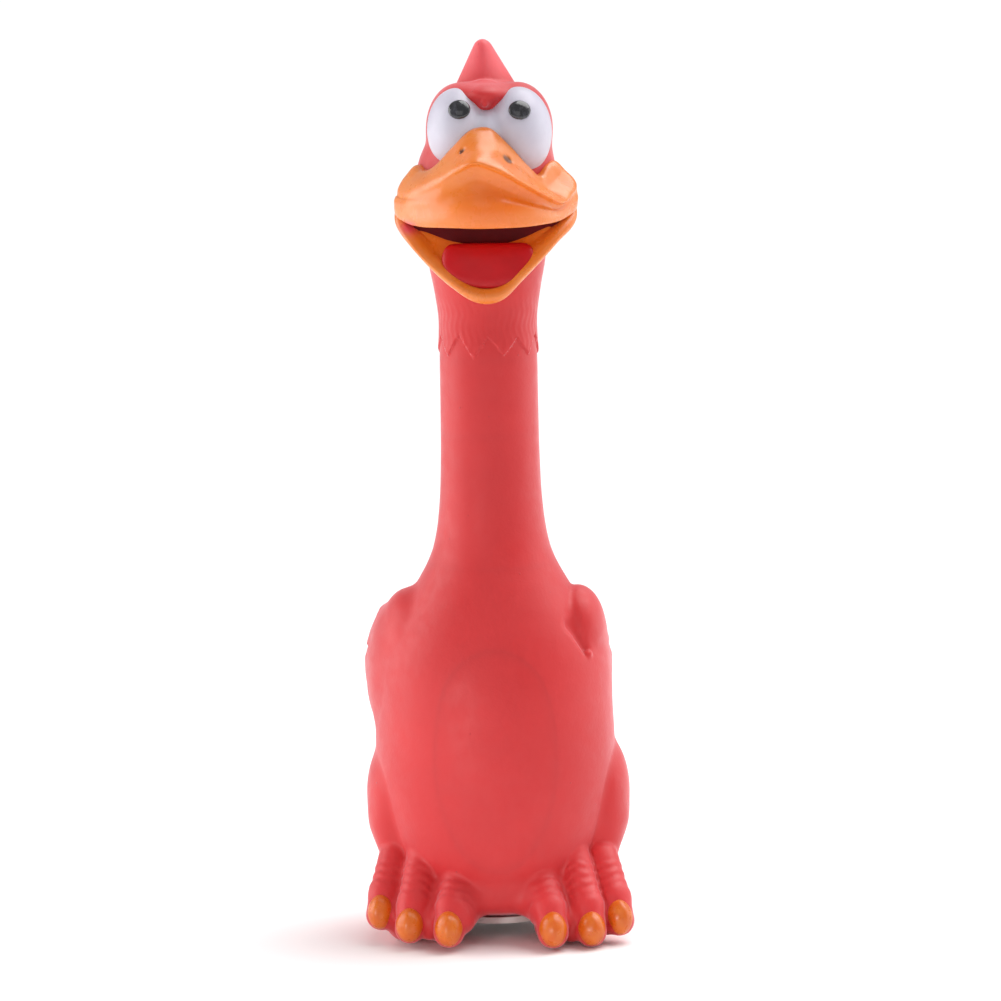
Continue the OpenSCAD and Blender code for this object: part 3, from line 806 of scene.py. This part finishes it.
def skin_piece(bm, name, keep):
    """One closed length of the skin. Its smooth side keeps the true surface directions, so no seam shows."""
    part = bm.copy()
    part.faces.ensure_lookup_table()
    bmesh.ops.delete(part, geom=[f for f in part.faces if f.index not in keep], context="FACES")
    caps = bmesh.ops.holes_fill(part, edges=[e for e in part.edges if e.is_boundary], sides=0)["faces"]
    for face in caps:
        face.smooth = False
    part.faces.ensure_lookup_table()
    true = part.verts.layers.float_vector["true_normal"]
    part.normal_update()
    normals = []
    for face in part.faces:
        for corner in face.loops:
            normals.append(corner.vert[true].normalized() if face.smooth else face.normal.copy())
    mesh = bpy.data.meshes.new(name)
    part.to_mesh(mesh)
    part.free()
    mesh.attributes.remove(mesh.attributes["true_normal"])
    mesh.normals_split_custom_set(normals)
    return placed(name, mesh)


# ------------------------------------------------------------------ the bill

# Each line of the upper bill as reach from the upright axis and height, at these angles from the front.
BILL_ANGLES = (-94, -78, -60, -42, -26, -14, -5, 6, 20, 34, 48, 62, 78, 94)
BILL_ROOT = (
    (13, 16.6, 17.2, 17.6, 17.9, 17.2, 16.4, 16.4, 17.6, 17.9, 17.4, 17.0, 16.9, 13),
    (184, 187.2, 186.2, 187.4, 191.8, 195.4, 196.3, 195.9, 192.0, 187.4, 184.6, 186.8, 187.6, 184))
BILL_SLOPE = (
    (14.2, 19.2, 19.9, 20.8, 21.4, 21.8, 22, 21.8, 21.2, 20.6, 19.9, 19.2, 19.6, 14.5),
    (183.0, 184.9, 184.6, 185.6, 188.6, 191.3, 192.3, 191.4, 187.6, 183.6, 181.4, 183.2, 185.4, 183.5))
BILL_CREST = (
    (15.5, 21.2, 22.4, 23.6, 25.1, 26.9, 28.4, 28.3, 27.2, 26.0, 24.8, 23.2, 22.0, 15.5),
    (181.5, 181.8, 181.4, 182, 184.2, 187.0, 188.7, 187, 183.4, 180.3, 178.5, 180.0, 182.6, 181.5))
# From the crest to the sharp edge just under it.
CREST_STEP = (
    (0.2, 0.3, 0.2, 0, -0.2, -1.0, -1.9, -2.1, -2.1, -2.0, -1.6, -0.5, 0.2, 0.3),
    (-1.6, -1.6, -1.6, -1.6, -1.5, -1.2, -0.9, -0.8, -0.7, -0.6, -0.6, -1.2, -1.6, -1.6))
BILL_HOLLOW = (16, 21.9, 22.8, 23.9, 25.2, 25.4, 25.2, 25.1, 24.6, 23.8, 22.8, 22.6, 22.3, 16)
BILL_FACE = (
    (16.2, 22.3, 23, 23.8, 25.4, 26.8, 27.3, 27.1, 26, 24.6, 23.3, 22.9, 22.5, 16.2),
    (178.6, 178.6, 178.0, 177.6, 178.2, 178.6, 178.8, 178.6, 178.0, 176.8, 176.2, 177.2, 178.8, 178.8))
BILL_LIP = (
    (15.5, 21.6, 22.2, 23.1, 24.8, 26, 26.4, 26.3, 25.3, 23.9, 22.7, 22, 21.5, 15.5),
    (176.2, 175.3, 173.9, 173.3, 173.4, 173.4, 173.3, 173.3, 173.3, 173.5, 173.8, 174.6, 175.8, 176.4))
# Each nostril: x and height of its middle, half length, half width and turn in degrees.
NOSTRILS = ((-5.4, 191.3, 0.85, 0.34, 42), (5.3, 189.2, 1.4, 0.52, -42))

# The lower bill's rim and the edge where it meets the throat, as reach and height at these angles.
JAW_ANGLES = (-84, -70, -55, -40, -25, -12, 0, 12, 25, 40, 55, 70, 84)
JAW_RIM = ((21.8, 23.0, 22.4, 21.1, 20.8, 20.6, 20.6, 20.6, 20.8, 21, 21.7, 22.8, 21.8),
           (175.6, 171.8, 167.5, 162.5, 158.6, 155.8, 154.9, 156, 160, 164.3, 168.5, 172.0, 175.8))
JAW_THROAT = ((18.6, 19.4, 17.6, 14.8, 13, 12.4, 12.2, 12.4, 13, 14.8, 17.6, 19.4, 18.6),
              (177, 175.2, 172.0, 170.0, 169.2, 168.9, 168.8, 168.9, 169.2, 170.4, 172.6, 175.4, 177))
ROOT_REACH = 10.0                # how deep the upper bill runs into the head
JAW_DEPTH = 9.0                  # how near the axis the lower bill runs
PALATE = 175.0                   # height of the upper bill's roof at its root


def upper_bill():
    """The upper bill with its nostrils, and the masks its paint uses."""
    root, crest, face, lip = (np.array(line) for line in (BILL_ROOT, BILL_CREST, BILL_FACE, BILL_LIP))
    hollow = np.array((BILL_HOLLOW, crest[1] - np.minimum(4.2, (crest[1] - face[1]) * 0.6)))
    inner = np.full(len(BILL_ANGLES), ROOT_REACH)
    rows = [(inner, root[1] - 2), root, np.array(BILL_SLOPE), crest, crest + CREST_STEP, hollow, face, lip,
            lip + [[-2.2], [0.4]], (inner, np.full(len(BILL_ANGLES), PALATE))]
    piece = lofted("upper_bill", BILL_ANGLES, rows, 260, 150)
    p = points_of(piece)
    front = (p[:, 1] < -15) & (p[:, 2] > 183)
    slit = np.zeros(len(p))
    for x, z, long, wide, turn in NOSTRILS:
        c, s = math.cos(math.radians(turn)), math.sin(math.radians(turn))
        u = (p[:, 0] - x) * c + (p[:, 2] - z) * s
        v = (p[:, 2] - z) * c - (p[:, 0] - x) * s
        slit = np.maximum(slit, np.exp(-((u / long) ** 2 + (v / wide) ** 2) ** 1.5) * front)
    p[:, 1] += 0.7 * slit
    p[:, 2] -= 0.3 * slit
    move_points(piece, p)
    # The nostril mask also carries painted shade into the dents.
    mask(piece, "slit", smooth_step((slit - 0.25) / 0.4))
    # Painted shade mask: the front of the bill under the crest, in the crest's shade.
    deep = np.exp(-((p[:, 0] - 1) / 11) ** 2 - ((p[:, 2] - 179) / 6.5) ** 2) * (p[:, 1] < -15)
    mask(piece, "deep", np.clip(deep, 0, 1))
    bare = np.exp(-((p[:, 0] + 18.6) / 1.6) ** 2 - ((p[:, 2] - 173.6) / 0.9) ** 2)
    mask(piece, "bare", np.clip(bare, 0, 1))
    return piece


def lower_bill():
    """The lower bill: a rounded rim that falls away inside to the throat."""
    rim, throat = np.array(JAW_RIM), np.array(JAW_THROAT)
    inner = rim + [[-3.2], [4.2]]
    slope = (inner + throat) / 2 + [[0.5], [-0.6]]
    inner[1] = np.minimum(inner[1], throat[1] - 0.6)
    slope[1] = np.minimum(slope[1], throat[1] - 0.2)
    deep = np.full(len(JAW_ANGLES), JAW_DEPTH)
    rows = [(deep, rim[1] + 3), rim + [[-5], [0.4]], rim + [[-1.2], [0]], rim + [[0], [1.6]],
            rim + [[-1.2], [3.3]], inner, slope, throat, (deep, throat[1] - 1.5)]
    piece = lofted("lower_bill", JAW_ANGLES, rows, 240, 130)
    p = points_of(piece)
    bare = np.exp(-((p[:, 0] + 18.4) / 2.2) ** 2 - ((p[:, 2] - 172.6) / 1.5) ** 2) * (p[:, 1] < -6)
    mask(piece, "bare", np.clip(bare * 1.2, 0, 1))
    for absent in ("deep", "slit"):
        mask(piece, absent, np.zeros(len(p)))
    return piece


def tongue_pad():
    """The tongue: a flat egg lying on the slope of the lower bill, cut level at the throat."""
    def shape(p):
        d = egg(p, (0.4, -15.6, 165.3), (11.1, 2.3, 7.5), lean=24)
        return carve(d, p[:, 2] - 168.9, 1.2)
    points, faces = mould(shape, (-13, -24, 155), (13, -8, 172), 0.4)
    return mesh_object("tongue_pad", points, faces)


def mouth_back():
    """The dark wall at the back of the open mouth, bowed round the throat."""
    def shape(p):
        wall = np.abs(p[:, 1] + 11.8 - 2.4 * (p[:, 0] / 17) ** 2) - 0.6
        narrow = 17.4 - 1.3 * np.maximum(171.5 - p[:, 2], 0)
        edge = np.maximum(np.abs(p[:, 0]) - narrow, np.abs(p[:, 2] - 171.5) - 5.5)
        return carve(wall, edge, 0.4)
    points, faces = mould(shape, (-20, -18, 165), (20, -9, 178), 0.5)
    return mesh_object("mouth_back", points, faces)


def eye_whites():
    """Both whites as one painted bulge, joined by the bridge above the bill."""
    def shape(p):
        d = melt(egg(p, *EYES[0]), egg(p, *EYES[1]), 1.4)
        return melt(d, egg(p, *BRIDGE), 1.6)
    points, faces = mould(shape, (-17, -20, 182), (18, 4, 208), 0.45)
    return mesh_object("eye_whites", points, faces)


# ------------------------------------------------------------------ claws

# Half sizes, turn about the upright axis and lean of the inner, middle and outer claw.
CLAWS = [((3.4, 3.8, 4.3), 6, -16), ((3.35, 3.7, 4.2), 12, -16), ((3.2, 3.6, 4.3), 24, -14)]
FROM_TOE_TIP = (0, -0.75, 1.0)


def claw_blank():
    """One claw of unit size: an egg, a little narrower at its root, with a faint ridge down its front."""
    def reshape(x, y, z):
        ridge = 1 + 0.07 * math.exp(-(x / 0.16) ** 2) if y < 0 else 1
        return x * (1 - 0.10 * max(0.0, z) ** 1.4), y * ridge, z
    return round_blank("claw_blank", 32, 24, reshape)


def claw_tree(blank, material):
    """Sets one claw on every point, turned and sized by the point's own values."""
    tree = bpy.data.node_groups.new("claws_on_toes", "GeometryNodeTree")
    tree.interface.new_socket("Geometry", in_out="INPUT", socket_type="NodeSocketGeometry")
    size = tree.interface.new_socket("Claw size", in_out="INPUT", socket_type="NodeSocketFloat")
    size.default_value = 1.0
    tree.interface.new_socket("Geometry", in_out="OUTPUT", socket_type="NodeSocketGeometry")
    nodes = tree.nodes
    start, end = nodes.new("NodeGroupInput"), nodes.new("NodeGroupOutput")
    claw = nodes.new("GeometryNodeObjectInfo")
    claw.inputs["Object"].default_value = blank
    turn, reach = nodes.new("GeometryNodeInputNamedAttribute"), nodes.new("GeometryNodeInputNamedAttribute")
    for reader, name in ((turn, "turn"), (reach, "half_size")):
        reader.data_type = "FLOAT_VECTOR"
        reader.inputs["Name"].default_value = name
    to_turn = nodes.new("FunctionNodeEulerToRotation")
    scale = nodes.new("ShaderNodeVectorMath")
    scale.operation = "SCALE"
    put = nodes.new("GeometryNodeInstanceOnPoints")
    real, paint = nodes.new("GeometryNodeRealizeInstances"), nodes.new("GeometryNodeSetMaterial")
    paint.inputs["Material"].default_value = material
    for source, out, target, into in (
            (reach, "Attribute", scale, 0), (start, "Claw size", scale, "Scale"),
            (start, "Geometry", put, "Points"), (claw, "Geometry", put, "Instance"),
            (turn, "Attribute", to_turn, "Euler"), (to_turn, "Rotation", put, "Rotation"),
            (scale, "Vector", put, "Scale"), (put, "Instances", real, "Geometry"),
            (real, "Geometry", paint, "Geometry"), (paint, "Geometry", end, "Geometry")):
        tree.links.new(source.outputs[out], target.inputs[into])
    return tree, size.identifier


def claw_set(name, side, tree, size_input, size):
    """The three claws of one foot as a plain mesh."""
    mesh = bpy.data.meshes.new(name + "_roots")
    tips = [np.array(tip) + FROM_TOE_TIP for _, _, tip in TOES[side]]
    mesh.from_pydata([(x * side * MM, y * MM, z * MM) for x, y, z in tips], [], [])
    turn = mesh.attributes.new("turn", "FLOAT_VECTOR", "POINT")
    half = mesh.attributes.new("half_size", "FLOAT_VECTOR", "POINT")
    for i, (radii, yaw, lean) in enumerate(CLAWS):
        turn.data[i].vector = (math.radians(lean), 0, math.radians(yaw * side))
        half.data[i].vector = [r * MM for r in radii]
    roots = placed(name + "_roots", mesh)
    maker = roots.modifiers.new("claws", "NODES")
    maker.node_group = tree
    maker[size_input] = size
    graph = bpy.context.evaluated_depsgraph_get()
    made = bpy.data.meshes.new_from_object(roots.evaluated_get(graph), depsgraph=graph)
    roots.modifiers.remove(maker)
    bpy.data.objects.remove(roots)
    made.name = name
    return placed(name, made)


# ------------------------------------------------------------------ what a user may change

def tint(name, about, value):
    return bpy.props.FloatVectorProperty(name=name, description=about, default=value, size=3,
                                         min=0.0, max=1.0, subtype="COLOR")


def number(name, about, default, low, high, **more):
    return bpy.props.FloatProperty(name=name, description=about, default=default, min=low, max=high, **more)


class ChickenSkin(bpy.types.PropertyGroup):
    """The moulded skin."""
    colour: tint("Skin", "Main colour of the skin", (0.575, 0.023, 0.025))
    colour_patch: tint("Skin patches", "Colour of the faint patches in the skin", (0.615, 0.027, 0.029))
    # Painted highlight: the lighter pink of the comb's top, where light catches it; the bill also uses it for
    # bare latex.
    comb_highlight_and_bare_colour: tint("Comb", "Colour towards the tip of the comb", (0.78, 0.088, 0.103))
    fineness: number("Mesh step", "Spacing of the skin's mesh",
                     0.00055, 0.0003, 0.003, unit="LENGTH", precision=5)


class ChickenFace(bpy.types.PropertyGroup):
    """The painted face."""
    bill_colour: tint("Bill", "Main colour of the bill", (0.77, 0.180, 0.009))
    bill_colour_thin: tint("Thin paint", "Colour of the bill where the paint is thin", (0.80, 0.235, 0.038))
    # Painted shade: the darker orange of the bill's front under the overhanging crest.
    bill_front_painted_shade: tint("Thick paint", "Colour of the bill's front", (0.88, 0.165, 0.003))
    eye_colour: tint("Eye white", "Colour of the whites", (0.61, 0.585, 0.675))
    eye_shade: tint("Eye shade", "Colour of the faint clouds in the whites", (0.545, 0.51, 0.61))
    tongue_colour: tint("Tongue", "Colour of the tongue", (0.54, 0.004, 0.009))
    pupil_width: number("Pupil width", "Width of a pupil", 0.0053, 0.003, 0.008, unit="LENGTH", precision=4)


class ChickenFeet(bpy.types.PropertyGroup):
    """The claws."""
    claw_size: number("Claw size", "Size against the usual one", 1.0, 0.7, 1.4, subtype="FACTOR")


class ChickenStage(bpy.types.PropertyGroup):
    """The camera and the lights."""
    distance: number("Distance", "Distance from the camera to the toy", 1.1, 0.4, 4, unit="LENGTH")
    height_angle: number("Height angle", "How far the camera looks down",
                         math.radians(7.2), -0.5, 1.2, subtype="ANGLE")
    lens: number("Lens", "Focal length in millimetres", 163.0, 30, 300, subtype="DISTANCE_CAMERA")
    side_light: number("Side lights", "Power of each side light in watts", 6.5, 0, 100)
    top_light: number("Top light", "Strength of the light overhead", 2.5, 0, 20)
    low_light: number("Low light", "Power of the spot on the feet in watts", 13.0, 0, 100)
    front_light: number("Front light", "Power of the front light in watts", 1.2, 0, 100)


# ------------------------------------------------------------------ operators

class CHICKEN_OT_skin(bpy.types.Operator):
    """Mould the skin and cut it where the neck and belly flex"""
    bl_idname = "chicken.skin"
    bl_label = "Mould the skin"

    def execute(self, context):
        cell = context.scene.chicken_skin.fineness / MM
        bm = moulded_skin(cell * (1))
        belly = belly_faces(bm)
        height = [f.calc_center_median().z / MM for f in bm.faces]
        levels = [-math.inf, *CUTS.values(), math.inf]
        names = ("torso_moulding", "lower_neck_moulding", "upper_neck_moulding", "head_moulding")
        made = {}
        for name, low, high in zip(names, levels, levels[1:]):
            keep = {i for i, z in enumerate(height) if low <= z < high and i not in belly}
            made[name] = skin_piece(bm, name, keep)
        made["belly_moulding"] = skin_piece(bm, "belly_moulding", belly)
        bm.free()
        latex().on(*made.values())
        torso, dome = made["torso_moulding"], made["belly_moulding"]
        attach(torso, "torso")
        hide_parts("torso_skin", "left_wing", "right_wing", "left_thigh", "right_thigh",
                    "left_foot", "right_foot", "tail_tuft")
        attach(dome, "torso")
        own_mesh(dome)
        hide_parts("belly_panel", "belly_flex_ring")
        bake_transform(made["lower_neck_moulding"])
        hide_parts("lower_neck_flex", "lower_neck_skin")
        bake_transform(made["upper_neck_moulding"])
        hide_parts("upper_neck_flex", "upper_neck_skin")
        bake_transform(made["head_moulding"])
        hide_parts("head_skin", "comb")
        return {"FINISHED"}


class CHICKEN_OT_bill(bpy.types.Operator):
    """Shape and paint the upper and lower bill"""
    bl_idname = "chicken.bill"
    bl_label = "Shape the bill"

    def execute(self, context):
        upper, lower = upper_bill(), lower_bill()
        orange_paint().on(upper, lower)
        for piece, node in ((upper, "upper_beak"), (lower, "lower_beak")):
            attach(piece, "head")
            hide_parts(node)
        return {"FINISHED"}


class CHICKEN_OT_mouth(bpy.types.Operator):
    """Fill the open mouth: its dark back wall and the tongue"""
    bl_idname = "chicken.mouth"
    bl_label = "Fill the mouth"

    def execute(self, context):
        back, tongue = mouth_back(), tongue_pad()
        mouth_paint().on(back)
        tongue_paint().on(tongue)
        for piece, node, slot in ((back, "mouth_lining", "dark_paint"), (tongue, "tongue", "red_paint")):
            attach(piece, "head")
            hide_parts(node)
        return {"FINISHED"}


class CHICKEN_OT_eyes(bpy.types.Operator):
    """Bulge the whites of the eyes and set the pupils"""
    bl_idname = "chicken.eyes"
    bl_label = "Set the eyes"

    def execute(self, context):
        whites = eye_whites()
        eye_paint().on(whites)
        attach(whites, "head")
        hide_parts("left_eye", "right_eye")
        half = context.scene.chicken_face.pupil_width / MM / 2
        paint = pupil_paint()
        for side, centre, yaw in PUPILS:
            pupil = ball(side + "_pupil_dome", centre, (half, PUPIL_BULGE, half * 0.95), lean=31, yaw=yaw)
            paint.on(pupil)
            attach(pupil, "head")
            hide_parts(side + "_pupil")
        return {"FINISHED"}


class CHICKEN_OT_claws(bpy.types.Operator):
    """Put three painted claws on each foot"""
    bl_idname = "chicken.claws"
    bl_label = "Put on the claws"

    def execute(self, context):
        paint = claw_paint()
        blank = claw_blank()
        tree, size_input = claw_tree(blank, paint.material)
        size = context.scene.chicken_feet.claw_size
        for name, side in (("left", -1), ("right", 1)):
            claws = claw_set(name + "_claw_tips", side, tree, size_input, size)
            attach(claws, "torso")
            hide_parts(name + "_claws")
        bpy.data.objects.remove(blank)
        return {"FINISHED"}


class CHICKEN_OT_squeaker(bpy.types.Operator):
    """Finish the squeaker's plastic pieces and its reed"""
    bl_idname = "chicken.squeaker"
    bl_label = "Finish the squeaker"

    def execute(self, context):
        plastic, brass = squeaker_plastic(), reed_brass()
        for name, finish in (("squeaker_barrel", plastic), ("squeaker_cap", plastic), ("reed_block", plastic),
                             ("reed_clip", plastic), ("reed", brass)):
            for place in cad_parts[name].material_slots:
                place.material = finish.material
        return {"FINISHED"}


FLOOR_HALF = 2e4                 # millimetres
TOY_MIDDLE = Vector((0, 0, 0.109))
AIM = Vector((0.0023, 0, 0.1053))    # the middle of the picture
CAMERA_TILT = math.radians(1.0)
FEET_MIDDLE = Vector((-0.008, -0.02, 0.010))


def hang(name, kind, power, place=None, way=None, **settings):
    """A lamp at a place, shining the given way; lamps without a way shine at the middle of the toy."""
    light = bpy.data.lights.new(name, kind)
    light.energy = power
    for key, value in settings.items():
        setattr(light, key, value)
    lamp = placed(name, light)
    lamp.location = place or (0, 0, 0)
    lamp.rotation_mode = "QUATERNION"
    lamp.rotation_quaternion = (way or TOY_MIDDLE - lamp.location).to_track_quat("-Z", "Y")


class CHICKEN_OT_stage(bpy.types.Operator):
    """Lay the floor, hang the lights and set up the camera"""
    bl_idname = "chicken.stage"
    bl_label = "Set the stage"

    def execute(self, context):
        scene, s = context.scene, context.scene.chicken_stage
        corners = [(x * FLOOR_HALF, y * FLOOR_HALF, 0) for x, y in ((-1, -1), (1, -1), (1, 1), (-1, 1))]
        floor = mesh_object("floor", corners, [(0, 1, 2, 3)], smooth=False)
        floor_finish().on(floor)
        camera = placed("camera", bpy.data.cameras.new("camera"))
        a = s.height_angle
        camera.location = TOY_MIDDLE + Vector((0, -math.cos(a), math.sin(a))) * s.distance
        camera.rotation_mode = "QUATERNION"
        aim = (AIM - camera.location).to_track_quat("-Z", "Y")
        camera.rotation_quaternion = aim @ Quaternion((0, 0, 1), -CAMERA_TILT)
        camera.data.lens = s.lens
        camera.data.sensor_width = 36
        camera.data.clip_start, camera.data.clip_end = 0.05, 20
        scene.camera = camera
        hang("left_softbox", "AREA", s.side_light * 1.1, (-1.0, 0.12, 0.42), size=0.9)
        hang("right_softbox", "AREA", s.side_light * 0.55, (1.0, 0.25, 0.4), size=0.9)
        hang("front_softbox", "AREA", s.front_light, (-0.1, -1.3, 0.9), size=0.8)
        hang("overhead", "SUN", s.top_light, way=Vector((-0.45, -0.25, -1.0)), angle=math.radians(55))
        corner = Vector((-0.42, -0.72, 0.08))
        hang("low_spot", "SPOT", s.low_light, corner, FEET_MIDDLE - corner,
             spot_size=math.radians(11.5), spot_blend=1.0, shadow_soft_size=0.08)
        world = bpy.data.worlds.new("studio")
        world.use_nodes = True
        backdrop = world.node_tree.nodes["Background"].inputs
        backdrop["Color"].default_value = (1, 1, 1, 1)
        backdrop["Strength"].default_value = 0.42
        scene.world = world
        scene.view_settings.view_transform = "Standard"
        return {"FINISHED"}


class CHICKEN_PT_panel(bpy.types.Panel):
    """Lists the toy's making steps and their sizes and colours"""
    bl_idname = "CHICKEN_PT_panel"
    bl_label = "Rubber Chicken"
    bl_space_type = "VIEW_3D"
    bl_region_type = "UI"
    bl_category = "Rubber Chicken"

    def draw(self, context):
        for title, group, steps in (
                ("Skin", context.scene.chicken_skin, (CHICKEN_OT_skin,)),
                ("Face", context.scene.chicken_face, (CHICKEN_OT_bill, CHICKEN_OT_mouth, CHICKEN_OT_eyes)),
                ("Feet", context.scene.chicken_feet, (CHICKEN_OT_claws,)),
                ("Squeaker and stage", context.scene.chicken_stage, (CHICKEN_OT_squeaker, CHICKEN_OT_stage))):
            box = self.layout.box()
            box.label(text=title)
            for name in group.__annotations__:
                box.prop(group, name)
            for step in steps:
                box.operator(step.bl_idname)


GROUPS = {"chicken_skin": ChickenSkin, "chicken_face": ChickenFace, "chicken_feet": ChickenFeet,
          "chicken_stage": ChickenStage}
OPERATORS = (CHICKEN_OT_skin, CHICKEN_OT_bill, CHICKEN_OT_mouth, CHICKEN_OT_eyes, CHICKEN_OT_claws,
             CHICKEN_OT_squeaker, CHICKEN_OT_stage)


def register():
    for name, group in GROUPS.items():
        bpy.utils.register_class(group)
        setattr(bpy.types.Scene, name, bpy.props.PointerProperty(type=group))
    for part in (*OPERATORS, CHICKEN_PT_panel):
        bpy.utils.register_class(part)


def unregister():
    for part in reversed((*OPERATORS, CHICKEN_PT_panel)):
        bpy.utils.unregister_class(part)
    for name, group in reversed(GROUPS.items()):
        delattr(bpy.types.Scene, name)
        bpy.utils.unregister_class(group)


def main():
    register()
    for step in (bpy.ops.chicken.skin, bpy.ops.chicken.bill, bpy.ops.chicken.mouth, bpy.ops.chicken.eyes,
                 bpy.ops.chicken.claws, bpy.ops.chicken.squeaker, bpy.ops.chicken.stage):
        if step() != {"FINISHED"}:
            raise RuntimeError("a making step did not finish")


if __name__ == "__main__":
    main()
